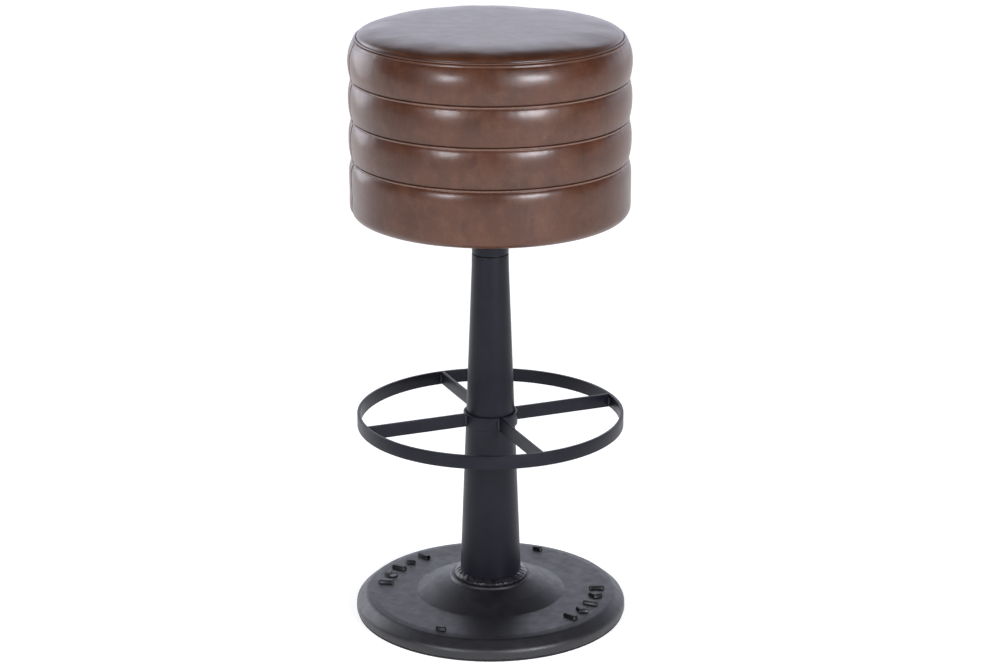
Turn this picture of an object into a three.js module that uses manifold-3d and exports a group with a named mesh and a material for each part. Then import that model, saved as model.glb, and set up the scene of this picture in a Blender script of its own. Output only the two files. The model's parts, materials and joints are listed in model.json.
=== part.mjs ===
// Bar stool with a footrest: a cast-iron base, a tapered steel column with a flat-bar
// footrest, and an upholstered drum seat that swivels on a ball thrust bearing.
// Millimetres, +Z up. The origin is on the floor at the column's axis, and the four
// footrest spokes lie along +X, +Y, -X and -Y.
import * as THREE from "three";
import { mergeVertices } from "three/addons/utils/BufferGeometryUtils.js";
import Module from "manifold-3d";

const wasm = await Module();
wasm.setup();

// ---- driving dimensions -------------------------------------------------------------
const GAP = 0.3; // between neighbours that touch on the real stool
const SEAT_TOP = 800; // crown of the seat above the floor
const SEAT_BOTTOM = 554; // underside of the seat's leather
const SEAT_RADIUS = 182; // fullest part of the leather bands
const BASE_RADIUS = 182;
const FOOTREST_RADIUS = 177;

const BIG = 48; // facets round the large rings
const MID = 32; // facets round the seat and the column
const SMALL = 16; // facets round bearings and fasteners

// Rubber ring under the base's rim.
const floorRing = { inner: 169, outer: 180.5, height: 3, bevel: 0.8 };

// Base casting: a dished disc with a rounded rim, a low dome and a boss for the column.
// The spigot on the boss locates the column from inside.
const base = {
  foot: floorRing.height + GAP,
  footWidth: 14,
  lip: 8,
  deck: 27,
  rimWidth: 22,
  wall: 9,
  domeRadius: 98.5,
  domeShoulder: [76, 39],
  bossRadius: 53,
  bossFoot: 46.5,
  bossTop: 49.5,
  bossUnderside: 37,
  spigotRadius: 36.5,
  spigotTop: 62,
  bevel: 2,
  hole: 24,
};

// Raised marks on the deck: two plain groups and two pills, about a quarter turn apart.
const marks = {
  height: 4,
  sunk: 1,
  radius: 144,
  groupAngles: [129, 316], // degrees from +X to the middle of each group
  perGroup: 5,
  pitch: 10.5, // degrees between neighbours in a group
  barLength: 20,
  barWidth: 8,
  lozengeLength: 20,
  lozengeWidth: 15,
  pillRadius: 151,
  pillAngles: [42, 222],
  pillLength: 14,
  pillWidth: 7,
};

// Column: a straight-sided cone that ends in a short parallel neck.
const column = {
  bottom: base.bossTop + GAP,
  coneTop: 482,
  top: 500,
  bottomRadius: 41,
  neckRadius: 24.2,
  wall: 2.7,
};
const columnRadius = (z) =>
  z >= column.coneTop
    ? column.neckRadius
    : column.bottomRadius +
      ((column.neckRadius - column.bottomRadius) * (z - column.bottom)) /
        (column.coneTop - column.bottom);
const weld = { reach: 9, height: 8, fillet: 5.5 };

// Footrest: everything is flat bar on edge.
const footrest = { bottom: 265, bar: 18, thickness: 4.5, collarThickness: 3, spokes: 4 };
footrest.top = footrest.bottom + footrest.bar;
footrest.collarInner = columnRadius(footrest.bottom) + GAP;
footrest.collarOuter = footrest.collarInner + footrest.collarThickness;

// Seat stack, from the leather's underside up: leather, bottom board; cloth and plate below.
const leather = { thickness: 1.6, seamRadius: 178.6, topSeamRadius: 172, roll: 15, turnedUnder: 152 };
const board = { radius: 160, thickness: 18, hole: 24, topThickness: 13, top: 748 };
board.bottom = SEAT_BOTTOM + leather.thickness + GAP;
board.inside = board.bottom + board.thickness;
board.topBottom = board.top - board.topThickness;
const cloth = { thickness: 0.7, outer: 157 };
cloth.top = board.bottom - GAP;
cloth.bottom = cloth.top - cloth.thickness;
const plate = { size: 150, corner: 14, thickness: 5.4, hole: 15.5, boltSpacing: 118, boltHole: 4.6 };
plate.top = cloth.bottom - GAP;
plate.bottom = plate.top - plate.thickness;

// Swivel: a 20 mm bolt stands in a plug at the column's top and carries a ball thrust
// bearing; the sleeve under the seat plate turns on two bushes round it.
const bolt = { radius: 10, headAcross: 30, headHeight: 7.5, top: 571 };
const plug = { bottom: 470, outer: column.neckRadius - column.wall - GAP, hole: 10.4 };
const bearing = {
  inner: 10.4,
  outer: 17.5,
  race: 2.5,
  ballRadius: 2.2,
  pitchRadius: 14,
  balls: 8,
  cageInner: 11.2,
  cageOuter: 16.8,
  cageHeight: 1.4,
};
bearing.lowerTop = column.top + GAP + bearing.race;
bearing.ballCentre = bearing.lowerTop + GAP + bearing.ballRadius;
bearing.upperBottom = bearing.ballCentre + bearing.ballRadius + GAP;
bearing.top = bearing.upperBottom + bearing.race;
const sleeve = { bottom: column.top + 1.2, top: plate.bottom - GAP, outer: 24.1, bore: 13.2, counterbore: 18.2 };
sleeve.shoulder = bearing.top + GAP;
const bush = { inner: 10.4, outer: 12.9, length: 14 };
const washer = { outer: 18.5, thickness: 2 };
const nut = { across: 30, height: 9.5 };

// Drum: two boards, four uprights and a hoop. Four bolts through the plate and the bottom
// board run into tee nuts.
const hoop = { inner: board.radius + GAP, thickness: 4 };
hoop.outer = hoop.inner + hoop.thickness;
const upright = { count: 4, size: 40, radius: 118 };
const seatBolt = { radius: 4, headAcross: 13, headHeight: 5.3, washerOuter: 9, washerThickness: 1.6 };
const teeNut = { inner: 4.4, outer: 5.2, hole: 5.6, flange: 9.5, flangeThickness: 1.5, depth: 10 };
seatBolt.top = board.inside + GAP + teeNut.flangeThickness;

// Upholstery: the top welt, then the three seams below it.
const welt = { radius: 1.9 };
const seams = [786.8, 735.3, 683.5, 630.7];
const crown = { radii: [0, 90, 125, 145, 158], power: 9 };
const firstBelly = 28; // fullest height of the first band, below its top edge

// ---- helpers ------------------------------------------------------------------------
const radians = THREE.MathUtils.degToRad;
const point = (r, z) => new THREE.Vector2(r, z);

// A solid of revolution about Z from its outline in (radius, height), which runs
// anticlockwise seen with the axis on the left. On-axis outlines start and end at r = 0.
function lathe(outline, facets) {
  const onAxis = outline[0].x === 0;
  const closed = onAxis ? outline : [...outline, outline[0].clone()];
  return new THREE.LatheGeometry(closed, facets).rotateX(Math.PI / 2);
}

// A plain ring or disc between two radii and two heights.
function ring(inner, outer, bottom, top, facets) {
  return lathe([point(inner, bottom), point(outer, bottom), point(outer, top), point(inner, top)], facets);
}

// Points along a quarter of an ellipse, both ends included.
function quarter(centre, radiusR, radiusZ, from, to, steps) {
  return Array.from({ length: steps + 1 }, (_, i) => {
    const a = radians(from + ((to - from) * i) / steps);
    return point(centre.x + radiusR * Math.cos(a), centre.y + radiusZ * Math.sin(a));
  });
}

// An upright prism of a 2-D shape between two heights.
function prism(shape, bottom, top, curveSegments = 6) {
  const depth = top - bottom;
  return new THREE.ExtrudeGeometry(shape, { depth, bevelEnabled: false, curveSegments }).translate(0, 0, bottom);
}

function hexagon(across) {
  const r = across / Math.sqrt(3);
  return new THREE.Shape(Array.from({ length: 6 }, (_, i) => {
    const a = (i * Math.PI) / 3;
    return point(r * Math.cos(a), r * Math.sin(a));
  }));
}

// A rectangle with round corners, centred on the origin.
function roundedRectangle(width, height, corner) {
  const x = width / 2 - corner;
  const y = height / 2 - corner;
  const shape = new THREE.Shape();
  shape.absarc(x, y, corner, 0, Math.PI / 2);
  shape.absarc(-x, y, corner, Math.PI / 2, Math.PI);
  shape.absarc(-x, -y, corner, Math.PI, 1.5 * Math.PI);
  shape.absarc(x, -y, corner, 1.5 * Math.PI, 2 * Math.PI);
  return shape;
}

const cylinder = (r, bottom, top, facets) =>
  new THREE.CylinderGeometry(r, r, top - bottom, facets)
    .rotateX(Math.PI / 2)
    .translate(0, 0, (top + bottom) / 2);

function toSolid(geometry) {
  const bare = geometry.clone();
  bare.deleteAttribute("normal");
  bare.deleteAttribute("uv");
  const merged = mergeVertices(bare, 1e-3);
  return new wasm.Manifold(new wasm.Mesh({
    numProp: 3,
    vertProperties: merged.attributes.position.array,
    triVerts: new Uint32Array(merged.index.array),
  }));
}

function toGeometry(solid) {
  const { vertProperties, triVerts } = solid.getMesh();
  const geometry = new THREE.BufferGeometry();
  geometry.setAttribute("position", new THREE.BufferAttribute(vertProperties, 3));
  geometry.setIndex(new THREE.BufferAttribute(triVerts, 1));
  geometry.computeVertexNormals();
  return geometry;
}

const join = (first, ...others) =>
  toGeometry(others.reduce((all, g) => all.add(toSolid(g)), toSolid(first)));
const cut = (first, ...others) =>
  toGeometry(others.reduce((left, g) => left.subtract(toSolid(g)), toSolid(first)));

// ---- materials ----------------------------------------------------------------------
const material = (color, roughness, metalness) =>
  new THREE.MeshStandardMaterial({ color, roughness, metalness });
const materials = {
  iron: material(0x2b2c30, 0.55, 0.3),
  steel: material(0x24262b, 0.45, 0.3),
  bright: material(0x9a9ca0, 0.35, 1),
  bronze: material(0xa98243, 0.4, 1),
  rubber: material(0x17171a, 0.85, 0),
  leather: material(0x6b4a3c, 0.38, 0),
  welt: material(0x5c3e32, 0.42, 0),
  wood: material(0xb8946a, 0.7, 0),
  foam: material(0xd9cfa8, 0.95, 0),
  cloth: material(0x1c1c1e, 0.95, 0),
};

const stool = new THREE.Group();
const pedestal = new THREE.Group();
const bearingCage = new THREE.Group();
const seat = new THREE.Group();
stool.add(pedestal, bearingCage, seat);

function place(group, name, geometry, finish, position = [0, 0, 0], turn = 0) {
  const mesh = new THREE.Mesh(geometry, finish);
  mesh.name = name;
  mesh.position.set(...position);
  mesh.rotation.z = turn;
  group.add(mesh);
  return mesh;
}

// ---- pedestal: base -----------------------------------------------------------------
function baseBody() {
  const rimCentre = point(BASE_RADIUS - base.rimWidth, base.lip);
  const rimHeight = base.deck - base.lip;
  const under = base.deck - base.wall;
  const footInner = BASE_RADIUS - base.footWidth;
  const [shoulderRadius, shoulderZ] = base.domeShoulder;
  return lathe([
    point(base.hole, base.bossUnderside),
    point(base.bossRadius - base.wall / 2, base.bossUnderside),
    point(base.domeRadius - base.wall / 2, under),
    ...quarter(point(rimCentre.x - base.wall, base.lip), footInner - rimCentre.x + base.wall,
      under - base.lip, 90, 0, 3),
    point(footInner, base.foot),
    point(BASE_RADIUS - base.bevel / 2, base.foot),
    ...quarter(rimCentre, base.rimWidth, rimHeight, 0, 90, 6),
    point(base.domeRadius, base.deck),
    point(shoulderRadius, shoulderZ),
    point(base.bossRadius + 1, base.bossFoot),
    point(base.bossRadius, base.bossTop),
    point(base.spigotRadius, base.bossTop),
    point(base.spigotRadius, base.spigotTop - base.bevel),
    point(base.spigotRadius - base.bevel, base.spigotTop),
    point(base.hole, base.spigotTop),
  ], BIG);
}

// One raised mark standing on the deck, with its length along the radius.
function raised(shape, radius, degrees) {
  return prism(shape, base.deck - marks.sunk, base.deck + marks.height, 4)
    .translate(radius, 0, 0)
    .rotateZ(radians(degrees));
}

function raisedMarks() {
  const bar = roundedRectangle(marks.barLength, marks.barWidth, marks.barWidth / 4);
  const lozenge = new THREE.Shape([
    point(marks.lozengeLength / 2, 0),
    point(0, marks.lozengeWidth / 2),
    point(-marks.lozengeLength / 2, 0),
    point(0, -marks.lozengeWidth / 2),
  ]);
  const pill = roundedRectangle(marks.pillWidth, marks.pillLength, marks.pillWidth / 2 - 0.01);
  const pills = marks.pillAngles.map((angle) => raised(pill, marks.pillRadius, angle));
  const middle = (marks.perGroup - 1) / 2;
  const groups = marks.groupAngles.flatMap((angle) =>
    Array.from({ length: marks.perGroup }, (_, i) =>
      raised(i % 2 ? lozenge : bar, marks.radius, angle + (i - middle) * marks.pitch)));
  return [...pills, ...groups];
}

place(pedestal, "base_casting", join(baseBody(), ...raisedMarks()), materials.iron);

place(pedestal, "floor_ring", lathe([
  point(floorRing.inner, 0),
  point(floorRing.outer - floorRing.bevel, 0),
  point(floorRing.outer, floorRing.bevel),
  point(floorRing.outer, floorRing.height),
  point(floorRing.inner, floorRing.height),
], BIG), materials.rubber);

// ---- pedestal: column ---------------------------------------------------------------
place(pedestal, "column_tube", lathe([
  point(column.bottomRadius - column.wall, column.bottom),
  point(column.bottomRadius, column.bottom),
  point(column.neckRadius, column.coneTop),
  point(column.neckRadius, column.top),
  point(column.neckRadius - column.wall, column.top),
  point(column.neckRadius - column.wall, column.coneTop),
], MID), materials.steel);

// The bead of weld that runs round the foot of the column on top of the boss.
const beadInner = column.bottomRadius + GAP;
place(pedestal, "base_weld", lathe([
  point(beadInner, column.bottom),
  point(beadInner + weld.reach, column.bottom),
  point(beadInner + weld.reach * 0.85, column.bottom + weld.height * 0.35),
  point(beadInner + weld.reach * 0.4, column.bottom + weld.height * 0.75),
  point(beadInner + weld.reach * 0.1, column.bottom + weld.height),
  point(beadInner, column.bottom + weld.height),
], MID), materials.steel);

place(pedestal, "column_plug", ring(plug.hole, plug.outer, plug.bottom, column.top, MID), materials.bright);

// ---- pedestal: footrest -------------------------------------------------------------
place(pedestal, "footrest_ring",
  ring(FOOTREST_RADIUS - footrest.thickness, FOOTREST_RADIUS, footrest.bottom, footrest.top, BIG), materials.steel);
place(pedestal, "footrest_collar",
  ring(footrest.collarInner, footrest.collarOuter, footrest.bottom, footrest.top, MID), materials.steel);

const facetDip = FOOTREST_RADIUS * (1 - Math.cos(Math.PI / BIG));
const spokeStart = footrest.collarOuter + GAP;
const spokeEnd = FOOTREST_RADIUS - footrest.thickness - facetDip - GAP;
for (let i = 0; i < footrest.spokes; i++) {
  const length = spokeEnd - spokeStart;
  const angle = (i * 2 * Math.PI) / footrest.spokes;
  const middle = (spokeStart + spokeEnd) / 2;
  place(pedestal, `footrest_spoke_${i + 1}`,
    new THREE.BoxGeometry(length, footrest.thickness, footrest.bar), materials.steel,
    [middle * Math.cos(angle), middle * Math.sin(angle), footrest.bottom + footrest.bar / 2], angle);
}

// ---- pedestal: swivel bolt and the bearing's lower race -----------------------------
const headTop = plug.bottom - GAP;
place(pedestal, "swivel_bolt", join(
  prism(hexagon(bolt.headAcross), headTop - bolt.headHeight, headTop),
  cylinder(bolt.radius, headTop - 1, bolt.top, SMALL),
), materials.bright);
place(pedestal, "bearing_lower_race",
  ring(bearing.inner, bearing.outer, column.top + GAP, bearing.lowerTop, SMALL), materials.bright);
const washerBottom = plate.top + GAP;
place(pedestal, "retaining_washer",
  ring(bush.inner, washer.outer, washerBottom, washerBottom + washer.thickness, SMALL), materials.bright);
const nutBottom = washerBottom + washer.thickness + GAP;
place(pedestal, "lock_nut", cut(
  prism(hexagon(nut.across), nutBottom, nutBottom + nut.height),
  cylinder(bush.inner, nutBottom - 1, nutBottom + nut.height + 1, SMALL),
), materials.bright);

// ---- bearing cage and balls ---------------------------------------------------------
const cageHoleRadius = bearing.ballRadius + GAP;
const ballAngles = Array.from({ length: bearing.balls }, (_, i) => ((i + 0.5) * 2 * Math.PI) / bearing.balls);
const onPitch = (a) => [bearing.pitchRadius * Math.cos(a), bearing.pitchRadius * Math.sin(a)];
place(bearingCage, "bearing_cage", cut(
  ring(bearing.cageInner, bearing.cageOuter,
    bearing.ballCentre - bearing.cageHeight / 2, bearing.ballCentre + bearing.cageHeight / 2, SMALL),
  ...ballAngles.map((a) =>
    cylinder(cageHoleRadius, bearing.ballCentre - 2, bearing.ballCentre + 2, 8).translate(...onPitch(a), 0)),
), materials.bronze);
ballAngles.forEach((a, i) => {
  place(bearingCage, `bearing_ball_${i + 1}`, new THREE.SphereGeometry(bearing.ballRadius, 8, 5),
    materials.bright, [...onPitch(a), bearing.ballCentre]);
});

// ---- seat: swivel parts -------------------------------------------------------------
place(seat, "bearing_upper_race",
  ring(bearing.inner, bearing.outer, bearing.upperBottom, bearing.top, SMALL), materials.bright);
place(seat, "swivel_sleeve", lathe([
  point(sleeve.counterbore, sleeve.bottom),
  point(sleeve.outer, sleeve.bottom),
  point(sleeve.outer, sleeve.top),
  point(sleeve.bore, sleeve.top),
  point(sleeve.bore, sleeve.shoulder),
  point(sleeve.counterbore, sleeve.shoulder),
], MID), materials.steel);
const bushBottoms = { lower_bush: sleeve.shoulder + GAP, upper_bush: sleeve.top - bush.length };
for (const [name, bottom] of Object.entries(bushBottoms)) {
  place(seat, name, ring(bush.inner, bush.outer, bottom, bottom + bush.length, SMALL), materials.bronze);
}
const filletInner = sleeve.outer + GAP;
place(seat, "sleeve_weld", lathe([
  point(filletInner, sleeve.top - weld.fillet),
  point(filletInner + 1, sleeve.top - weld.fillet),
  point(filletInner + weld.fillet, sleeve.top - 1),
  point(filletInner + weld.fillet, sleeve.top),
  point(filletInner, sleeve.top),
], MID), materials.steel);

const corners = [[1, 1], [-1, 1], [-1, -1], [1, -1]].map(([x, y]) => [
  (x * plate.boltSpacing) / 2, (y * plate.boltSpacing) / 2,
]);
const boltHoles = (radius, bottom, top) =>
  corners.map(([x, y]) => cylinder(radius, bottom - 1, top + 1, SMALL).translate(x, y, 0));

place(seat, "seat_plate", cut(
  prism(roundedRectangle(plate.size, plate.size, plate.corner), plate.bottom, plate.top, 5),
  cylinder(plate.hole, plate.bottom - 1, plate.top + 1, SMALL),
  ...boltHoles(plate.boltHole, plate.bottom, plate.top),
), materials.steel);

// The dust cloth lies on the board and steps down over the leather that is turned under it.
const stepDown = leather.thickness + GAP + cloth.thickness;
place(seat, "dust_cloth", cut(
  lathe([
    point(board.hole, cloth.bottom),
    point(leather.turnedUnder - GAP - cloth.thickness, cloth.bottom),
    point(leather.turnedUnder - GAP - cloth.thickness, cloth.bottom - stepDown),
    point(cloth.outer, cloth.bottom - stepDown),
    point(cloth.outer, cloth.top - stepDown),
    point(leather.turnedUnder - GAP, cloth.top - stepDown),
    point(leather.turnedUnder - GAP, cloth.top),
    point(board.hole, cloth.top),
  ], MID),
  ...boltHoles(plate.boltHole, cloth.bottom, cloth.top),
), materials.cloth);

corners.forEach(([x, y], i) => {
  const washerTop = plate.bottom - GAP;
  const washerBase = washerTop - seatBolt.washerThickness;
  const headTopZ = washerBase - GAP;
  const flangeBottom = board.inside + GAP;
  const flangeTop = flangeBottom + teeNut.flangeThickness;
  place(seat, `seat_bolt_${i + 1}`, join(
    prism(hexagon(seatBolt.headAcross), headTopZ - seatBolt.headHeight, headTopZ),
    cylinder(seatBolt.radius, headTopZ - 1, seatBolt.top, SMALL / 2),
  ), materials.bright, [x, y, 0]);
  place(seat, `bolt_washer_${i + 1}`,
    ring(seatBolt.radius + GAP, seatBolt.washerOuter, washerBase, washerTop, SMALL), materials.bright, [x, y, 0]);
  place(seat, `tee_nut_${i + 1}`, lathe([
    point(teeNut.inner, flangeBottom - teeNut.depth),
    point(teeNut.outer, flangeBottom - teeNut.depth),
    point(teeNut.outer, flangeBottom),
    point(teeNut.flange, flangeBottom),
    point(teeNut.flange, flangeTop),
    point(teeNut.inner, flangeTop),
  ], SMALL), materials.bright, [x, y, 0]);
});

// ---- seat: wooden drum --------------------------------------------------------------
place(seat, "bottom_board", cut(
  ring(board.hole, board.radius, board.bottom, board.inside, MID),
  ...boltHoles(teeNut.hole, board.bottom, board.inside),
), materials.wood);
place(seat, "top_board", cylinder(board.radius, board.topBottom, board.top, MID), materials.wood);
place(seat, "drum_hoop", ring(hoop.inner, hoop.outer, board.bottom, board.top, MID), materials.wood);
for (let i = 0; i < upright.count; i++) {
  const angle = (i * 2 * Math.PI) / upright.count;
  const bottom = board.inside + GAP;
  const height = board.topBottom - GAP - bottom;
  place(seat, `upright_${i + 1}`, new THREE.BoxGeometry(upright.size, upright.size, height), materials.wood,
    [upright.radius * Math.cos(angle), upright.radius * Math.sin(angle), bottom + height / 2], angle);
}

// ---- seat: padding and leather ------------------------------------------------------
const padOuter = leather.seamRadius - leather.thickness - GAP;
const padRoll = leather.roll - 5;
place(seat, "side_padding", lathe([
  point(hoop.outer + GAP, board.bottom),
  ...quarter(point(padOuter - padRoll, board.bottom + padRoll), padRoll, padRoll, -90, 0, 3),
  point(padOuter, board.top),
  point(hoop.outer + GAP, board.top),
], MID), materials.foam);

// Height of the leather's top face at a radius: flat in the middle, falling to the welt.
const topFace = (r) =>
  seams[0] + (SEAT_TOP - seams[0]) * (1 - (r / leather.topSeamRadius) ** crown.power);
const crownOuter = [...crown.radii, leather.topSeamRadius - welt.radius - GAP].map((r) => point(r, topFace(r)));
const crownInner = crownOuter.map((p) => point(p.x, p.y - leather.thickness));
place(seat, "leather_top", lathe([...crownInner, ...crownOuter.reverse()], MID), materials.leather);

const bandTop = seams[0] - welt.radius - GAP; // upper edge of the first band, under the welt
const foamShoulder = 11; // bevel on the foam behind the first band's rounded top
place(seat, "top_foam", lathe([
  point(0, board.top + GAP),
  point(padOuter, board.top + GAP),
  point(padOuter, bandTop - foamShoulder),
  point(padOuter - foamShoulder, bandTop - GAP),
  ...crownInner.slice(0, -1).map((p) => point(p.x, p.y - GAP)).reverse(),
], MID), materials.foam);

place(seat, "top_welt", lathe(Array.from({ length: 6 }, (_, i) => {
  const angle = (i * Math.PI) / 3;
  return point(
    leather.topSeamRadius + welt.radius * Math.cos(angle),
    seams[0] + welt.radius * Math.sin(angle),
  );
}), MID), materials.welt);

// A band of leather from its lower seam to its upper one, fullest at its belly and drawn in
// at both stitched edges.
const sheet = (outer) => {
  const inner = outer.map((p) => point(p.x - leather.thickness, p.y)).reverse();
  return lathe([...outer, ...inner], MID);
};
// Points from the belly towards a stitched edge, as shares of the way there.
const swelling = (belly, edge, edgeRadius, shares) => shares.map((share) => point(
  edgeRadius + (SEAT_RADIUS - edgeRadius) * (1 - share * share) ** 0.8,
  belly + (edge - belly) * share,
));
for (let i = 0; i < seams.length - 1; i++) {
  const bottom = seams[i + 1] + GAP / 2;
  const top = i ? seams[i] - GAP / 2 : bandTop;
  const topRadius = i ? leather.seamRadius : leather.topSeamRadius + welt.radius;
  const belly = i ? (top + bottom) / 2 : top - firstBelly;
  place(seat, `leather_band_${i + 1}`, sheet([
    ...swelling(belly, bottom, leather.seamRadius, [1, 0.85, 0.5, 0]),
    ...swelling(belly, top, topRadius, [0.5, 0.85, 1]),
  ]), materials.leather);
}

// The lowest band rolls round the drum's edge and is turned under it.
const rollCentre = point(SEAT_RADIUS - leather.roll, SEAT_BOTTOM + leather.roll);
const rolled = (radius) => [
  point(leather.turnedUnder, rollCentre.y - radius),
  ...quarter(rollCentre, radius, radius, -90, 0, 4),
];
const lastTop = seams.at(-1) - GAP / 2;
const lastBelly = lastTop - (seams[2] - seams[3]) / 2;
const lastBand = swelling(lastBelly, lastTop, leather.seamRadius, [0, 0.5, 0.85, 1]);
place(seat, "leather_band_4", lathe([
  ...rolled(leather.roll),
  ...lastBand,
  ...lastBand.map((p) => point(p.x - leather.thickness, p.y)).reverse(),
  ...rolled(leather.roll - leather.thickness).reverse(),
], MID), materials.leather);

export default stool;
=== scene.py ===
"""A bar stool: cast-iron base, tapered steel column, flat-bar footrest and a drum seat in leather.

Metres, +Z up, in the frame of the CAD model, which is loaded first. The seat swivels, so its pieces
ride on the body "seat" and everything under it rides on "pedestal".
"""
import json
import math

import bmesh
import bpy
from mathutils import Matrix, Vector, noise


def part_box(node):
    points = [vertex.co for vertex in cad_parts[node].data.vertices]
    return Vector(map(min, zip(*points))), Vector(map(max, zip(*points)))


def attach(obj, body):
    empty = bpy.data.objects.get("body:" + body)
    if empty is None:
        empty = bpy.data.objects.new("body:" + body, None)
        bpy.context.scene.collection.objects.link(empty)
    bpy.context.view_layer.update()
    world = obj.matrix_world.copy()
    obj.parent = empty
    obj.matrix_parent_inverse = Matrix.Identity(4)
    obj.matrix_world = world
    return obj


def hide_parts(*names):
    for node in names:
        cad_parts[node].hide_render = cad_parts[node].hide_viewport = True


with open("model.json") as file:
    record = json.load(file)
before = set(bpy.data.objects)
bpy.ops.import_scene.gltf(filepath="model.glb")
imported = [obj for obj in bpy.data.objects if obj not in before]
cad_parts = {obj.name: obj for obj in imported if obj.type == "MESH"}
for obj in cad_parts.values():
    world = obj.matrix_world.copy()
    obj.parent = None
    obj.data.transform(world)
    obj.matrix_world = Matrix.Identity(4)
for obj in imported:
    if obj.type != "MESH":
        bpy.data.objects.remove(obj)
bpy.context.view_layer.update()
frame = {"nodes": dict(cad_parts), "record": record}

noise.seed_set(1)  # without a seed, noise_vector starts from the clock and differs in each run

MM = 0.001
TURN = 2 * math.pi

# ---- sizes from the frame ----


def radius_of(node):
    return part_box(node)[1].x


def bottom_of(node):
    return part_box(node)[0].z


def top_of(node):
    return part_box(node)[1].z


BASE_RADIUS = radius_of("base_casting")
SEAT_RADIUS = radius_of("leather_band_2")
SEAT_BOTTOM = bottom_of("leather_band_4")
SEAT_TOP = top_of("leather_top")
# The top welt's height, then the three seams below it.
SEAMS = [(bottom_of("top_welt") + top_of("top_welt")) / 2]
SEAMS += [bottom_of(f"leather_band_{i}") for i in (1, 2, 3)]
LAST = len(SEAMS) - 1  # the lowest band

# Shapes that the nodes' boxes do not give.
DECK = 27 * MM
DOME_RADIUS = 98.5 * MM
BOSS_RADIUS = 53 * MM
BOSS_TOP = 49.5 * MM
COLUMN_WALL = 2.7 * MM
COLUMN_NECK = 24.2 * MM
CONE_TOP = 482 * MM
MARK_TOP = DECK + 4 * MM
SIDE_SEAM_RADIUS = 178.6 * MM
TOP_SEAM_RADIUS = 172 * MM
BAR = 4.5 * MM  # the flat bar's thickness in the footrest
BAR_EDGE = 0.8 * MM
COLLAR_WALL = 3 * MM
LEATHER = 1.6 * MM
LIP = 3.5 * MM  # the flat, stitched lip at the top of each lower band
FIRST_BELLY = 28 * MM  # the first band's fullest height, below its top edge
ROLL = 15 * MM  # the radius of the lowest band's turn under the drum
NO_SEAM = SEAT_BOTTOM - 60 * MM  # stands for the lowest band's lower seam, which it does not have
END_SEAM = math.radians(168.5)  # where each band's two ends are sewn together


# ---- material helpers ----


def add_node(tree, kind, inputs=None, **settings):
    """A node with its settings made, and its inputs set to values or linked from sockets."""
    node = tree.nodes.new(kind)
    for key, value in settings.items():
        setattr(node, key, value)
    for key, value in (inputs or {}).items():
        if isinstance(value, bpy.types.NodeSocket):
            tree.links.new(value, node.inputs[key])
        else:
            node.inputs[key].default_value = value
    return node


def opaque(colour):
    """A colour with full alpha. A socket stays as it is."""
    return colour if isinstance(colour, bpy.types.NodeSocket) else (*colour, 1)


class Nodes:
    """A material's node tree, with short calls for the nodes that it needs."""

    def __init__(self, name, **shader):
        self.material = bpy.data.materials.new(name)
        self.material.use_nodes = True
        self.tree = self.material.node_tree
        self.shader = self.tree.nodes["Principled BSDF"]
        for key, value in shader.items():
            self.shader.inputs[key.replace("_", " ").title().replace("Ior", "IOR")].default_value = value
        self.place = self.add("ShaderNodeTexCoord").outputs["Object"]

    def add(self, kind, inputs=None, **settings):
        return add_node(self.tree, kind, inputs, **settings)

    def link(self, source, target):
        self.tree.links.new(source, target)

    def noise(self, scale, detail=4, roughness=0.55, stretch=(1, 1, 1)):
        """Noise whose features are about 1 / scale metres across."""
        place = self.add("ShaderNodeMapping", {"Vector": self.place, "Scale": stretch}).outputs["Vector"]
        inputs = {"Vector": place, "Scale": scale, "Detail": detail, "Roughness": roughness}
        return self.add("ShaderNodeTexNoise", inputs).outputs["Fac"]

    def cells(self, scale, feature="F1"):
        inputs = {"Vector": self.place, "Scale": scale}
        return self.add("ShaderNodeTexVoronoi", inputs, feature=feature).outputs["Distance"]

    def attribute(self, name):
        return self.add("ShaderNodeAttribute", attribute_name=name).outputs["Fac"]

    def remap(self, source, low, high, to_low, to_high):
        inputs = {"Value": source, "From Min": low, "From Max": high, "To Min": to_low, "To Max": to_high}
        return self.add("ShaderNodeMapRange", inputs).outputs["Result"]

    def ramp(self, source, *stops):
        node = self.add("ShaderNodeValToRGB")
        ramp = node.color_ramp
        while len(ramp.elements) < len(stops):
            ramp.elements.new(0.5)
        for element, (position, colour) in zip(ramp.elements, stops):
            element.position = position
            element.color = (*colour, 1)
        self.link(source, node.inputs["Fac"])
        return node.outputs["Color"]

    def mix(self, factor, a, b):
        """Colour a turned towards b. a and b are sockets or colours, factor a socket or a number."""
        inputs = {0: factor, 6: opaque(a), 7: opaque(b)}
        return self.add("ShaderNodeMix", inputs, data_type="RGBA").outputs[2]

    def maths(self, operation, a, b):
        return self.add("ShaderNodeMath", {0: a, 1: b}, operation=operation).outputs[0]

    def bump(self, height, distance, strength=1.0, under=None):
        inputs = {"Height": height, "Distance": distance, "Strength": strength}
        if under:
            inputs["Normal"] = under
        return self.add("ShaderNodeBump", inputs).outputs["Normal"]

    def finish(self, colour, roughness, normal):
        self.link(colour, self.shader.inputs["Base Color"])
        self.link(roughness, self.shader.inputs["Roughness"])
        self.link(normal, self.shader.inputs["Normal"])
        return self.material


# ---- materials ----


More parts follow.
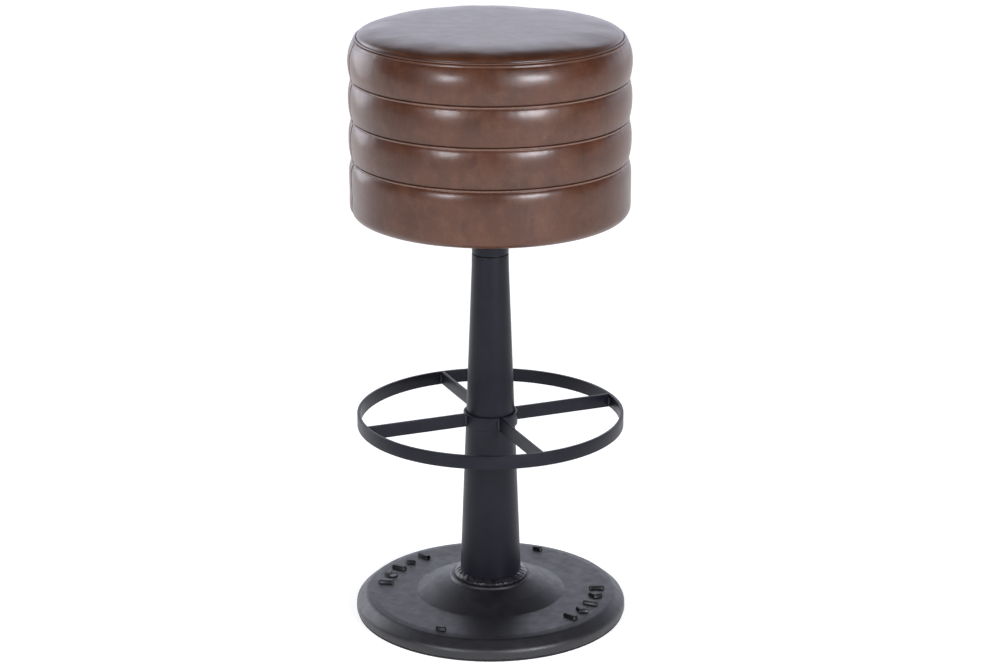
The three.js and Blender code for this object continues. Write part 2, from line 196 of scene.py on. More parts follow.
def cast_iron(name="cast_iron_black", dark=0.75, gloss=0.0, specular=0.66):
    """Sand-cast iron under thin black paint: fine pits, soft lumps and a dusty bloom."""
    m = Nodes(name, metallic=0.0, specular_ior_level=specular)
    grain = m.noise(620, 5, 0.65)
    lumps = m.noise(90, 4, 0.5)
    clouds = m.noise(16, 3, 0.5)
    low, high = ([shade * tint * dark for tint in (1, 1, 1.3)] for shade in (0.005, 0.010))
    colour = m.ramp(clouds, (0.3, low), (0.7, high))
    colour = m.mix(m.remap(grain, 0.55, 0.75, 0, 0.3), colour, (0.022, 0.022, 0.024))
    roughness = m.remap(lumps, 0.3, 0.7, 0.41 - gloss, 0.51 - gloss)
    normal = m.bump(grain, 0.16 * MM, 0.7, m.bump(lumps, 0.35 * MM, 0.4))
    return m.finish(colour, roughness, normal)


def satin_black(name="steel_black"):
    """Satin black powder coat: a fine orange peel and slightly uneven sheen."""
    m = Nodes(name, metallic=0.0, specular_ior_level=0.17)
    peel = m.noise(520, 3, 0.5)
    clouds = m.noise(22, 4, 0.5)
    colour = m.ramp(clouds, (0.3, (0.005, 0.0055, 0.009)), (0.7, (0.009, 0.0095, 0.014)))
    roughness = m.remap(clouds, 0.3, 0.7, 0.34, 0.44)
    return m.finish(colour, roughness, m.bump(peel, 0.09 * MM, 0.6))


def glossy_weld():
    """Weld metal under thick glossy paint."""
    m = Nodes("weld_black", metallic=0.0, specular_ior_level=0.4)
    clouds = m.noise(120, 4, 0.6)
    colour = m.ramp(clouds, (0.3, (0.006, 0.006, 0.008)), (0.7, (0.014, 0.014, 0.017)))
    roughness = m.remap(clouds, 0.3, 0.7, 0.2, 0.4)
    return m.finish(colour, roughness, m.bump(m.noise(200, 3, 0.5), 0.3 * MM, 0.5))


def rubber():
    m = Nodes("rubber_black", specular_ior_level=0.3)
    grain = m.noise(900, 3, 0.6)
    colour = m.ramp(m.noise(40), (0.3, (0.010, 0.010, 0.011)), (0.7, (0.020, 0.020, 0.021)))
    return m.finish(colour, m.remap(grain, 0.3, 0.7, 0.72, 0.9), m.bump(grain, 0.1 * MM, 0.6))


def bright_steel():
    """Zinc-plated or ground steel: fine streaks and a faint yellow-blue cast."""
    m = Nodes("steel_bright", metallic=1.0)
    streaks = m.noise(260, 5, 0.6, stretch=(1, 1, 14))
    clouds = m.noise(60, 3)
    colour = m.ramp(clouds, (0.3, (0.46, 0.46, 0.49)), (0.7, (0.62, 0.61, 0.57)))
    return m.finish(colour, m.remap(streaks, 0.3, 0.7, 0.24, 0.44), m.bump(streaks, 0.03 * MM, 0.5))


def bronze():
    m = Nodes("bronze", metallic=1.0)
    turning = m.noise(300, 4, 0.6, stretch=(1, 1, 20))
    colour = m.ramp(m.noise(50), (0.3, (0.42, 0.25, 0.09)), (0.7, (0.62, 0.41, 0.18)))
    return m.finish(colour, m.remap(turning, 0.3, 0.7, 0.25, 0.42), m.bump(turning, 0.03 * MM, 0.5))


def plywood():
    """Plywood: long grain on the face and thin plies, which show at the edges."""
    m = Nodes("plywood", specular_ior_level=0.25)
    fibre = m.noise(42, 8, 0.65, stretch=(1, 14, 1))
    plies = m.noise(420, 0, 0.5, stretch=(0.02, 0.02, 1))
    stops = (0.25, (0.33, 0.19, 0.09)), (0.5, (0.50, 0.33, 0.17)), (0.8, (0.62, 0.44, 0.25))
    colour = m.ramp(fibre, *stops)
    colour = m.mix(m.remap(plies, 0.45, 0.55, 0, 0.35), colour, (0.24, 0.13, 0.06))
    return m.finish(colour, m.remap(fibre, 0.2, 0.8, 0.6, 0.8), m.bump(fibre, 0.2 * MM, 0.6))


def foam():
    m = Nodes("foam", specular_ior_level=0.1)
    pores = m.cells(900)
    colour = m.ramp(pores, (0.1, (0.32, 0.26, 0.13)), (0.6, (0.68, 0.60, 0.38)))
    return m.finish(colour, m.remap(pores, 0, 0.7, 0.98, 0.85), m.bump(pores, 0.6 * MM, 0.8))


def dust_cloth():
    """Black non-woven cloth with the small square dimples of its bonding."""
    m = Nodes("dust_cloth", specular_ior_level=0.15)
    fibres = m.noise(1400, 4, 0.7)
    dimples = m.cells(620)
    colour = m.mix(fibres, (0.010, 0.010, 0.011), (0.030, 0.030, 0.032))
    roughness = m.remap(fibres, 0.3, 0.7, 0.85, 1.0)
    return m.finish(colour, roughness, m.bump(dimples, 0.25 * MM, 0.7, m.bump(fibres, 0.1 * MM, 0.6)))


def leather():
    """Hand-rubbed brown leather: mottled, with pores, fine creases and a soft coat.

    The attribute "seam" is 1 in a stitched groove, where the colour is darkened as painted shade, and
    the edge attribute is 1 on the folded edges beside it, where the colour is lightened as a painted
    highlight.
    """
    m = Nodes("leather_brown", specular_ior_level=0.3, coat_weight=0.25, coat_roughness=0.22)
    clouds = m.noise(13, 5, 0.6)
    blotches = m.noise(48, 5, 0.62)
    streaks = m.noise(60, 6, 0.7, stretch=(1, 1, 0.35))
    speckle = m.noise(620, 3, 0.6)
    colour = m.ramp(
        clouds,
        (0.30, (0.040, 0.0123, 0.0046)),
        (0.50, (0.058, 0.0181, 0.0072)),
        (0.70, (0.077, 0.0263, 0.0115)),
    )
    colour = m.mix(m.remap(blotches, 0.46, 0.70, 0, 0.4), colour, (0.106, 0.046, 0.024))
    colour = m.mix(m.remap(streaks, 0.50, 0.72, 0, 0.5), colour, (0.026, 0.0095, 0.0052))
    colour = m.mix(m.remap(speckle, 0.50, 0.70, 0, 0.5), colour, (0.022, 0.0085, 0.005))
    # Painted highlight: the folded edges and the rolled welt are made lighter.
    colour = m.mix(m.remap(m.attribute("edge_highlight"), 0, 1, 0, 0.36), colour, (0.17, 0.095, 0.068))
    # Painted shade: the colour darkens in the stitched grooves and along the top panel's edge.
    colour = m.mix(m.remap(m.attribute("seam"), 0, 1, 0, 0.55), colour, (0.020, 0.009, 0.006))
    sheen = m.maths("ADD", blotches, m.maths("MULTIPLY", speckle, 0.4))
    roughness = m.remap(sheen, 0.45, 0.95, 0.33, 0.40)
    creases = m.bump(m.noise(150, 4, 0.6, stretch=(1, 1, 0.5)), 0.30 * MM, 0.4)
    grain = m.bump(m.cells(1050), 0.10 * MM, 0.5, creases)
    pores = m.bump(m.cells(760, "SMOOTH_F1"), 0.06 * MM, 0.4, grain)
    return m.finish(colour, roughness, pores)


def thread():
    """Waxed thread, twisted."""
    m = Nodes("thread", specular_ior_level=0.3, sheen_weight=0.2)
    inputs = {"Vector": m.place, "Scale": 900, "Distortion": 1.5}
    strands = m.add("ShaderNodeTexWave", inputs, bands_direction="DIAGONAL").outputs["Fac"]
    colour = m.ramp(strands, (0.2, (0.17, 0.11, 0.085)), (0.8, (0.36, 0.26, 0.21)))
    return m.finish(colour, m.remap(strands, 0, 1, 0.75, 0.5), m.bump(strands, 0.12 * MM, 0.8))


# The finish of each slot, and two finishes that have no slot of their own.
FINISHES = {
    "cast_iron_black": cast_iron(),
    "steel_black": satin_black(),
    "weld_black": glossy_weld(),
    "rubber_black": rubber(),
    "steel_bright": bright_steel(),
    "bronze": bronze(),
    "plywood": plywood(),
    "foam": foam(),
    "dust_cloth": dust_cloth(),
    "leather_brown": leather(),
}
# Painted shade: the raised marks get a darker copy of the iron's colour.
MARKS = cast_iron("cast_marks_painted_shade", dark=0.5, gloss=0.08, specular=0.3)
THREAD = thread()


def paint_cad_nodes():
    """Gives every CAD node the finish of its slot, including those that a piece replaces."""
    slots = {part["node"]: part["material_slot"] for part in frame["record"]["subparts"]}
    for name, node in frame["nodes"].items():
        node.data.materials.clear()
        node.data.materials.append(FINISHES[slots[name]])


# ---- mesh helpers ----


def add_object(name, data):
    thing = bpy.data.objects.new(name, data)
    bpy.context.scene.collection.objects.link(thing)
    return thing


def add_piece(name, mesh, body, slot, *nodes, material=None):
    """A piece from a mesh, in its slot's finish or another. It stands for the CAD nodes that are named."""
    piece = add_object(name, mesh)
    mesh.materials.append(material or FINISHES[slot])
    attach(piece, body)
    if nodes:
        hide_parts(*nodes)
    return piece


def to_mesh(name, bm, smooth_below=38):
    """A mesh from a bmesh, smooth except along edges sharper than the angle, in degrees."""
    bmesh.ops.recalc_face_normals(bm, faces=bm.faces)
    mesh = bpy.data.meshes.new(name)
    bm.to_mesh(mesh)
    bm.free()
    mesh.shade_smooth()
    mesh.set_sharp_from_angle(angle=math.radians(smooth_below))
    return mesh


def rounded(corners, steps=4):
    """A closed outline through corners (across, up, fillet), each fillet drawn as an arc."""
    outline = []
    for i, (x, z, fillet) in enumerate(corners):
        here = Vector((x, z))
        if not fillet:
            outline.append(here)
            continue
        before = Vector(corners[i - 1][:2]) - here
        after = Vector(corners[(i + 1) % len(corners)][:2]) - here
        u, v = before.normalized(), after.normalized()
        half = u.angle(v) / 2
        reach = min(fillet / math.tan(half), 0.48 * before.length, 0.48 * after.length)
        arc_radius = reach * math.tan(half)
        centre = here + (u + v).normalized() * (arc_radius / math.sin(half))
        start, end = here + u * reach - centre, here + v * reach - centre
        first = math.atan2(start.y, start.x)
        sweep = (math.atan2(end.y, end.x) - first + math.pi) % TURN - math.pi
        for k in range(steps + 1):
            a = first + sweep * k / steps
            outline.append(centre + arc_radius * Vector((math.cos(a), math.sin(a))))
    return outline


def rounded_box(left, low, right, high, fillet, steps=4):
    corners = [(left, low), (right, low), (right, high), (left, high)]
    return rounded([(*corner, fillet) for corner in corners], steps)


def polar(r, angle, z):
    return r * math.cos(angle), r * math.sin(angle), z


def circle(count):
    """Points round the unit circle."""
    return [polar(1, TURN * i / count, 0)[:2] for i in range(count)]


def round_noise(angle, scale, z):
    """Smooth noise round the axis. A larger scale makes it finer."""
    return noise.noise(Vector(polar(scale, angle, z)))


def bell(x, width):
    """1 where x is 0, falling to 0 on both sides."""
    return math.exp(-((x / width) ** 2))


def revolve(bm, outline, around, wobble=None):
    """Sweeps a closed outline of (radius, height) about Z, moved by wobble(angle, radius, height)."""
    rings = []
    for k in range(around):
        angle = TURN * k / around
        moved = [wobble(angle, *p) for p in outline] if wobble else outline
        rings.append([bm.verts.new(polar(r, angle, z)) for r, z in moved])
    bridge_round(bm, rings)


def bridge_round(bm, rings):
    """Quads between neighbouring loops, and between the last loop and the first."""
    for k in range(len(rings)):
        bridge(bm, rings[k - 1], rings[k])


def bridge(bm, a, b):
    """Quads between two closed loops of vertices."""
    for i in range(len(a)):
        j = (i + 1) % len(a)
        bm.faces.new((a[i], b[i], b[j], a[j]))


def turned(name, corners, body, slot, *nodes, around=192, steps=4, wobble=None):
    """A turned piece with rounded corners."""
    bm = bmesh.new()
    revolve(bm, rounded(corners, steps), around, wobble)
    return add_piece(name, to_mesh(name, bm), body, slot, *nodes)


def loft(bm, loops):
    """Closes a stack of equal loops of points, from the first to the last."""
    rings = [[bm.verts.new(p) for p in loop] for loop in loops]
    for a, b in zip(rings, rings[1:]):
        bridge(bm, a, b)
    bm.faces.new(rings[0])
    bm.faces.new(rings[-1])


def lumpy(amount, scale, seed=0.0):
    """A wobble that moves a point along its radius by smooth noise."""
    def move(angle, r, z):
        at = Vector(polar(r, angle, z)) * scale
        return r + amount * noise.noise(at + Vector((seed, seed, seed))), z
    return move


# ---- base ----


def make_base():
    """The casting: a hollow dish with a rounded rim, a low dome, a boss and a spigot in the column."""
    foot, spigot_top = bottom_of("base_casting"), top_of("base_casting")
    wall, bore, spigot, ceiling = 9 * MM, 24 * MM, 36 * MM, 37 * MM
    hollow = [
        (bore, ceiling, 1 * MM),
        (BOSS_RADIUS - 5 * MM, ceiling, 6 * MM),
        (DOME_RADIUS - 4.5 * MM, DECK - wall, 14 * MM),
        (BASE_RADIUS - 30 * MM, DECK - wall, 10 * MM),
        (BASE_RADIUS - 16 * MM, 11 * MM, 6 * MM),
        (BASE_RADIUS - 14 * MM, foot, 1 * MM),
    ]
    rim = [
        (BASE_RADIUS - 1.2 * MM, foot, 1 * MM),
        (BASE_RADIUS, foot + 1.5 * MM, 1.5 * MM),
        (BASE_RADIUS - 0.4 * MM, 14.5 * MM, 9 * MM),
        (BASE_RADIUS - 14 * MM, DECK - 1.2 * MM, 9 * MM),
        (BASE_RADIUS - 24 * MM, DECK, 9 * MM),
    ]
    dome = [
        (DOME_RADIUS + 1 * MM, DECK, 5 * MM),
        (77 * MM, 38.4 * MM, 26 * MM),
        (BOSS_RADIUS + 2 * MM, BOSS_TOP - 2.9 * MM, 3 * MM),
        (BOSS_RADIUS, BOSS_TOP, 1.6 * MM),
        (spigot + 0.5 * MM, BOSS_TOP, 0.5 * MM),
        (spigot, spigot_top, 1.5 * MM),
        (bore, spigot_top, 1 * MM),
    ]
    turned("base_dish", hollow + rim + dome, "pedestal", "cast_iron_black", "base_casting",
           around=256, steps=6, wobble=lumpy(0.25 * MM, 38, 3.0))


def mark_loops(outline, centre_radius, angle):
    """A raised mark's outline at several heights: flared at its foot and rounded at its top."""
    heights = [DECK + up * MM for up in (-1.0, 0.15, 0.8)]
    heights += [MARK_TOP - down * MM for down in (1.0, 0.35, 0, 0)]
    grows = [grow * MM for grow in (1.2, 0.9, 0.25, -0.1, -0.4, -1.1, -1.9)]
    turn = Matrix.Rotation(angle, 3, "Z")
    loops = []
    for z, grow in zip(heights, grows):
        loop = []
        for i, p in enumerate(outline):
            along = (outline[(i + 1) % len(outline)] - outline[i - 1]).normalized()
            outward = Vector((along.y, -along.x))
            q = p + outward * grow
            loop.append(turn @ Vector((q.x + centre_radius, q.y, z)))
        loops.append(loop)
    return loops


def make_marks():
    """Plain raised bars and lozenges in two groups, and two pills. They stand for the cast lettering."""
    long, wide, corner = 10 * MM, 7.5 * MM, 1.2 * MM
    bar = rounded_box(-long, -4 * MM, long, 4 * MM, 2 * MM)
    lozenge = rounded([(long, 0, corner), (0, wide, corner), (-long, 0, corner), (0, -wide, corner)])
    pill = rounded_box(-3.5 * MM, -7 * MM, 3.5 * MM, 7 * MM, 3.4 * MM)
    group_middles, mark_step, mark_reach = (129, 316), 10.5, 144 * MM
    pill_angles, pill_reach = (42, 222), 151 * MM
    bm = bmesh.new()
    for middle in group_middles:
        for i in range(5):
            angle = math.radians(middle + (i - 2) * mark_step)
            loft(bm, mark_loops(lozenge if i % 2 else bar, mark_reach, angle))
    for angle in pill_angles:
        loft(bm, mark_loops(pill, pill_reach, math.radians(angle)))
    for v in bm.verts:
        v.co += 0.25 * MM * noise.noise_vector(v.co * 260)
    add_piece("base_marks", to_mesh("base_marks", bm, 60), "pedestal", "cast_iron_black", material=MARKS)


def make_floor_ring():
    inner, outer = 169 * MM, radius_of("floor_ring")
    top = top_of("floor_ring")
    turned("base_floor_ring", [
        (inner, 0, 0.8 * MM), (outer, 0, 0.8 * MM), (outer, top, 0.4 * MM), (inner, top, 0.4 * MM),
    ], "pedestal", "rubber_black", "floor_ring")


# ---- column ----


def make_column():
    bottom, top = bottom_of("column_tube"), top_of("column_tube")
    foot, neck = radius_of("column_tube"), COLUMN_NECK
    turned("column", [
        (foot - COLUMN_WALL, bottom, 0),
        (foot, bottom, 0.4 * MM),
        (neck + 0.25 * MM, CONE_TOP, 30 * MM),
        (neck, top, 0.5 * MM),
        (neck - COLUMN_WALL, top, 0.3 * MM),
        (neck - COLUMN_WALL, CONE_TOP, 0),
    ], "pedestal", "steel_black", "column_tube", around=160, steps=6)


def weld_wobble(ripples, depth, seed, low, high):
    """Ripples of overlapping weld, strongest away from the bead's own foot."""
    def move(angle, r, z):
        phase = ripples * angle / TURN + 0.35 * round_noise(angle, 4, seed * 4)
        scale = 0.5 + 0.5 * math.cos(TURN * phase + 5 * (z - low) / (high - low))
        swell = noise.noise(Vector(polar(r, angle, z)) * 90 + Vector((seed, 0, 0)))
        share = min(max((z - low) / (high - low), 0), 1)
        push = depth * (scale * 0.6 + swell * 0.9)
        return r + push * (0.35 + 0.65 * share), z + push * 0.6 * share
    return move


def make_base_weld():
    """The thick bead between the boss and the column, in overlapping scales."""
    low, high = bottom_of("base_weld"), top_of("base_weld")
    inner = radius_of("column_tube") - 0.4 * MM
    reach = radius_of("base_weld") - inner - 1.2 * MM
    corners = [
        (inner, low, 0),
        (inner + reach, low, 0.6 * MM),
        (inner + reach * 0.95, low + 0.35 * (high - low), 2.4 * MM),
        (inner + reach * 0.5, low + 0.74 * (high - low), 3 * MM),
        (inner + 0.8 * MM, high - 0.6 * MM, 1.2 * MM),
        (inner, high - 0.4 * MM, 0),
    ]
    turned("column_weld", corners, "pedestal", "weld_black", "base_weld",
           around=720, steps=6, wobble=weld_wobble(31, 0.75 * MM, 1.7, low, high))


# ---- footrest ----


def make_footrest():
    """The hoop, the collar round the column and the four spokes, all of flat bar on edge."""
    low, high = bottom_of("footrest_ring"), top_of("footrest_ring")
    hoop, collar = radius_of("footrest_ring"), radius_of("footrest_collar")
    for name, node, outer, wall, around, wobble in (
        ("footrest_hoop", "footrest_ring", hoop, BAR, 256, lumpy(0.25 * MM, 9, 5.0)),
        ("footrest_band", "footrest_collar", collar, COLLAR_WALL, 160, lumpy(0.2 * MM, 30, 6.0)),
    ):
        corners = [(r, z, BAR_EDGE) for r, z in (
            (outer - wall, low), (outer, low), (outer, high), (outer - wall, high),
        )]
        turned(name, corners, "pedestal", "steel_black", node, around=around, wobble=wobble)
    sink = 0.5 * MM
    for i in range(4):
        make_spoke(i, collar - sink, hoop - BAR + sink, low, high)


def make_spoke(index, start, end, low, high):
    """A flat bar on edge between the collar and the hoop, with rolled corners."""
    name = f"footrest_bar_{index + 1}"
    section = rounded_box(-BAR / 2, low, BAR / 2, high, BAR_EDGE)
    turn = Matrix.Rotation(index * TURN / 4, 3, "Z")
    stations = 9
    loops = []
    for k in range(stations):
        x = start + (end - start) * k / (stations - 1)
        sway = 0.25 * MM * noise.noise(Vector((x * 20, index, 0)))
        loops.append([turn @ Vector((x, y + sway, z)) for y, z in section])
    bm = bmesh.new()
    loft(bm, loops)
    add_piece(name, to_mesh(name, bm), "pedestal", "steel_black", f"footrest_spoke_{index + 1}")


def make_joint_weld(name, places):
    """Short upright beads of weld, one in each corner where a spoke meets the collar or the hoop."""
    bm = bmesh.new()
    size, steps = 1.7 * MM, 12
    for x, y, low, high in places:
        loops = []
        for k in range(steps + 1):
            share = k / steps
            z = low + (high - low) * share
            wander = noise.noise_vector(Vector((x * 90, y * 90, z * 160)))
            swell = size * (0.35 + 0.65 * math.sin(share * math.pi) ** 0.4 + 0.35 * wander.z)
            centre = Vector((x, y, z)) + Vector((wander.x, wander.y, 0)) * 0.5 * MM
            loops.append([centre + swell * Vector((a, b, 0)) for a, b in circle(12)])
        loft(bm, loops)
    add_piece(name, to_mesh(name, bm, 60), "pedestal", "weld_black")


def make_footrest_welds():
    low, high = bottom_of("footrest_ring"), top_of("footrest_ring")
    collar, hoop = radius_of("footrest_collar"), radius_of("footrest_ring") - BAR
    foot, beside = low + 1.5 * MM, BAR / 2 + 0.3 * MM
    collar_end, hoop_end = high - 1 * MM, high - 4 * MM
    for name, reach, end in (("collar_welds", collar, collar_end), ("hoop_welds", hoop, hoop_end)):
        places = []
        for i in range(4):
            turn = Matrix.Rotation(i * TURN / 4, 3, "Z")
            corners = [turn @ Vector((reach, side * beside, 0)) for side in (-1, 1)]
            places += [(corner.x, corner.y, foot, end) for corner in corners]
        make_joint_weld(name, places)


# ---- swivel ----


def make_sleeve():
    low, high = bottom_of("swivel_sleeve"), top_of("swivel_sleeve")
    outer = radius_of("swivel_sleeve")
    shoulder = top_of("bearing_upper_race") + 0.3 * MM
    wide_bore, bush_bore = 18.2 * MM, 13.2 * MM
    turned("sleeve", [
        (wide_bore, low, 0.3 * MM), (outer, low, 0.6 * MM), (outer, high, 0.3 * MM),
        (bush_bore, high, 0), (bush_bore, shoulder, 0), (wide_bore, shoulder, 0),
    ], "seat", "steel_black", "swivel_sleeve", around=128)
    foot, crest = bottom_of("sleeve_weld"), top_of("sleeve_weld")
    reach = radius_of("sleeve_weld") - 0.5 * MM
    root, top = outer - 0.2 * MM, crest - 0.2 * MM
    turned("sleeve_bead", [
        (root, foot, 0), (outer + 1.2 * MM, foot + 0.3 * MM, 0.6 * MM),
        (reach - 1 * MM, crest - 2 * MM, 2 * MM), (reach, top, 0.6 * MM), (root, top, 0),
    ], "seat", "weld_black", "sleeve_weld", around=360,
        wobble=weld_wobble(44, 0.5 * MM, 4.2, crest, foot))


# ---- leather ----


def puff(t, fall=2):
    """The fullness of a padded band: 1 at its belly, 0 at its stitched edge, where t is 1."""
    return max(0.0, 1 - t ** fall) ** 0.8


def band_radius(z):
    """The side's radius at a height before it is inflated: full between seams and drawn in at them."""
    full = SEAT_RADIUS - 0.6 * MM
    index = max((i for i, seam in enumerate(SEAMS) if z <= seam), default=0)
    top = SEAMS[index]
    if index == 0:
        belly, edge, start, fall = top - FIRST_BELLY, TOP_SEAM_RADIUS + 0.6 * MM, top, 2
    else:
        depth = SEAMS[2] - SEAMS[3] if index == LAST else top - SEAMS[index + 1]
        belly, edge, start, fall = top - depth / 2, SIDE_SEAM_RADIUS, top - LIP, 3
    if z > belly:
        return edge + (full - edge) * puff(min((z - belly) / (start - belly), 1), fall)
    if index == LAST:
        return full
    share = (belly - z) / (belly - SEAMS[index + 1])
    return SIDE_SEAM_RADIUS + (full - SIDE_SEAM_RADIUS) * puff(share)


def crown_height(r):
    """Height of the top panel: nearly flat, then a round shoulder that falls to the seam."""
    share = min(r / TOP_SEAM_RADIUS, 1)
    rise = SEAT_TOP - 0.6 * MM - SEAMS[0]
    return SEAMS[0] + rise * (1 - 0.04 * share ** 2) * (1 - share ** 14) ** 0.7


CLOTH_FRAMES = 20
# Soft upholstery leather, blown up gently and cut 0.4 % oversize.
CLOTH_SETTINGS = {
    "quality": 5, "mass": 0.3, "tension_stiffness": 30, "compression_stiffness": 30, "shear_stiffness": 15,
    "bending_stiffness": 20, "use_pressure": True, "uniform_pressure_force": 4, "shrink_min": -0.004,
    "vertex_group_mass": "pinned",
}


def inflate(name, bm, pinned, limit):
    """A closed mesh, and how far its vertices move when it is blown up, held at the pinned ones."""
    mesh = to_mesh(name, bm)
    work = add_object(name, mesh)
    work.vertex_groups.new(name="pinned").add(pinned, 1.0, "REPLACE")
    cloth = work.modifiers.new("cloth", "CLOTH")
    for setting, value in CLOTH_SETTINGS.items():
        setattr(cloth.settings, setting, value)
    cloth.settings.effector_weights.gravity = 0
    cloth.point_cache.frame_start = 1
    cloth.point_cache.frame_end = CLOTH_FRAMES
    for step in range(1, CLOTH_FRAMES + 1):
        bpy.context.scene.frame_set(step)
    settled = work.evaluated_get(bpy.context.evaluated_depsgraph_get()).data
    moves = []
    for before, after in zip(mesh.vertices, settled.vertices):
        move = after.co - before.co
        moves.append(move * min(1, limit / max(move.length, 1e-9)))
    bpy.context.scene.frame_set(1)
    bpy.data.objects.remove(work)
    return mesh, moves


SOFTEN = 4  # neighbours on each side that a blown-up point is averaged with


def soften_row(values):
    """A ring of values with only its broad swell and soft gathers left."""
    count = len(values)
    reach = range(-SOFTEN, SOFTEN + 1)
    return [sum(values[(k + d) % count] for d in reach) / len(reach) for k in range(count)]


def soften_grid(grid):
    """A square of values, averaged in the same way and still 0 at its edge."""
    n = len(grid) - 1
    reach = range(-SOFTEN, SOFTEN + 1)

    def mean(i, j):
        near = [grid[min(max(i + a, 0), n)][min(max(j + b, 0), n)] for a in reach for b in reach]
        return sum(near) / len(near) * min(1, min(i, j, n - i, n - j) / SOFTEN)

    return [[mean(i, j) for j in range(n + 1)] for i in range(n + 1)]


SWELL_AROUND = 288
SWELL_STEP = 3.6 * MM


def swell_heights():
    """The heights of the side's rows for the cloth, with a row on each seam."""
    rows = []
    ends = [*SEAMS, SEAT_BOTTOM + 3 * MM]
    for top, bottom in zip(ends, ends[1:]):
        count = round((top - bottom) / SWELL_STEP)
        rows += [top + (bottom - top) * k / count for k in range(count)]
    return [*rows, ends[-1]]


def side_swell():
    """The side's outward movement, blown up between its seams: a closed row for each height."""
    heights = swell_heights()
    bm = bmesh.new()
    rings = []
    for z in heights:
        r = band_radius(z)
        ring = []
        for k in range(SWELL_AROUND):
            a = TURN * k / SWELL_AROUND
            start = r - 0.5 * MM + 0.25 * MM * round_noise(a, 9, z * 60)
            ring.append(bm.verts.new(polar(start, a, z)))
        rings.append(ring)
    for a, b in zip(rings, rings[1:]):
        bridge(bm, a, b)
    bm.faces.new(rings[0])
    bm.faces.new(reversed(rings[-1]))
    bm.verts.index_update()
    end_column = round(END_SEAM / TURN * SWELL_AROUND)
    held = []
    for row, z in enumerate(heights):
        on_lip = any(-0.1 * MM < seam - z < LIP + 0.3 * MM for seam in SEAMS[1:])
        on_seam = row in (0, len(heights) - 1) or on_lip
        held += [v.index for k, v in enumerate(rings[row]) if on_seam or k == end_column]
    mesh, moves = inflate("side_swell", bm, held, 3 * MM)
    outward = [move.xy.dot(vertex.co.xy.normalized()) for vertex, move in zip(mesh.vertices, moves)]
    rows = [outward[i * SWELL_AROUND:(i + 1) * SWELL_AROUND] for i in range(len(heights))]
    softened = [soften_row(soften_row(row)) for row in rows]
    return heights, [[*row, row[0]] for row in softened]


def between(grid, s, t):
    """The value at a place between the points of a grid."""
    s = min(max(s, 0), len(grid) - 1 - 1e-6)
    t = min(max(t, 0), len(grid[0]) - 1 - 1e-6)
    i, j = int(s), int(t)
    a, b = s - i, t - j
    near = grid[i][j] * (1 - b) + grid[i][j + 1] * b
    far = grid[i + 1][j] * (1 - b) + grid[i + 1][j + 1] * b
    return near * (1 - a) + far * a


def sample_swell(swell, angle, z):
    """The side's outward movement at an angle and height."""
    heights, rows = swell
    z = min(max(z, heights[-1]), heights[0])
    row = next(i for i in range(len(heights) - 1) if heights[i + 1] <= z)
    down = (heights[row] - z) / (heights[row] - heights[row + 1])
    return between(rows, row + down, (angle % TURN) / TURN * SWELL_AROUND)


LEATHER_AROUND = 576


def band_angles():
    """Angles round a band: even steps, and finer ones across the upright seam."""
    step = TURN / LEATHER_AROUND
    fine_step = 0.6 * MM / SEAT_RADIUS
    fine = [END_SEAM + fine_step * k for k in range(-12, 13)]
    even = [step * k for k in range(LEATHER_AROUND)]
    return sorted(fine + [a for a in even if abs(a - END_SEAM) > 13 * fine_step])


def band_heights(top, bottom):
    """Heights down a band, closer together near its two stitched edges."""
    depth = top - bottom
    fine = [0, 0.3, 0.7, 1.1, 1.6, 2.2, 2.9, 3.5, 4.1, 5.0, 6.2, 7.7, 9.5]
    near = [f * MM for f in fine]
    count = round((depth - 2 * near[-1]) / (3.2 * MM))
    middle = [near[-1] + (depth - 2 * near[-1]) * k / count for k in range(1, count)]
    return [top - d for d in near + middle] + [bottom + d for d in reversed(near)]


def edge_shape(z, top, bottom):
    """Radial change at a band's edges: a thin lip and a stitch line above, a tuck below."""
    below = (top - z) / MM
    above = (z - bottom) / MM
    change = 0.0
    if below < 7:
        change += 0.5 * bell(below - 1.2, 0.8) - 1.5 * bell(below, 0.4)
        change -= 0.30 * bell(below - LIP / MM, 0.9)
    if above < 4:
        change -= 1.5 * bell(above, 0.5)
    return change * MM


def pucker(angle, z, top, bottom):
    """Small gathers that run into each stitched edge and fade away from it."""
    fade = 6 * MM
    upper = round_noise(angle, 22, top * 50) * math.exp(-(top - z) / fade)
    lower = round_noise(angle, 22, bottom * 50) * math.exp(-(z - bottom) / fade)
    return (0.45 * upper + 0.45 * lower + 0.35 * round_noise(angle, 3, z * 12)) * MM


def from_end_seam(angle):
    """How far round the side an angle lies from the upright seam."""
    return ((angle - END_SEAM + math.pi) % TURN - math.pi) * SEAT_RADIUS


def end_seam_dip(angle):
    """The upright seam, where the ends of each band meet: a narrow dip with a soft pinch beside it."""
    away = from_end_seam(angle) / MM
    return -(3.2 * bell(away, 1.3) + 1.2 * bell(away, 8)) * MM


def leather_radius(swell, angle, z, top, bottom):
    return (band_radius(z) + sample_swell(swell, angle, z) + edge_shape(z, top, bottom)
            + pucker(angle, z, top, bottom) + end_seam_dip(angle))


def groove_shade_share(z, top, bottom, angle):
    """1 in a stitched groove, falling to 0 a few millimetres away: how far the colour is darkened there as
    painted shade.
    """
    above = math.exp(-abs(top - z) / (0.45 * MM))
    below = math.exp(-abs(z - bottom) / (1.6 * MM))
    return max(above, below, math.exp(-abs(from_end_seam(angle)) / (1.6 * MM)))


def edge_highlight_share(z, top):
    """1 on the folded edge at a band's top, which is painted lighter as a highlight."""
    return bell((top - z) / MM - 1.2, 0.8)


def write_share(mesh, name, shares):
    layer = mesh.attributes.new(name, "FLOAT", "POINT")
    layer.data.foreach_set("value", shares)


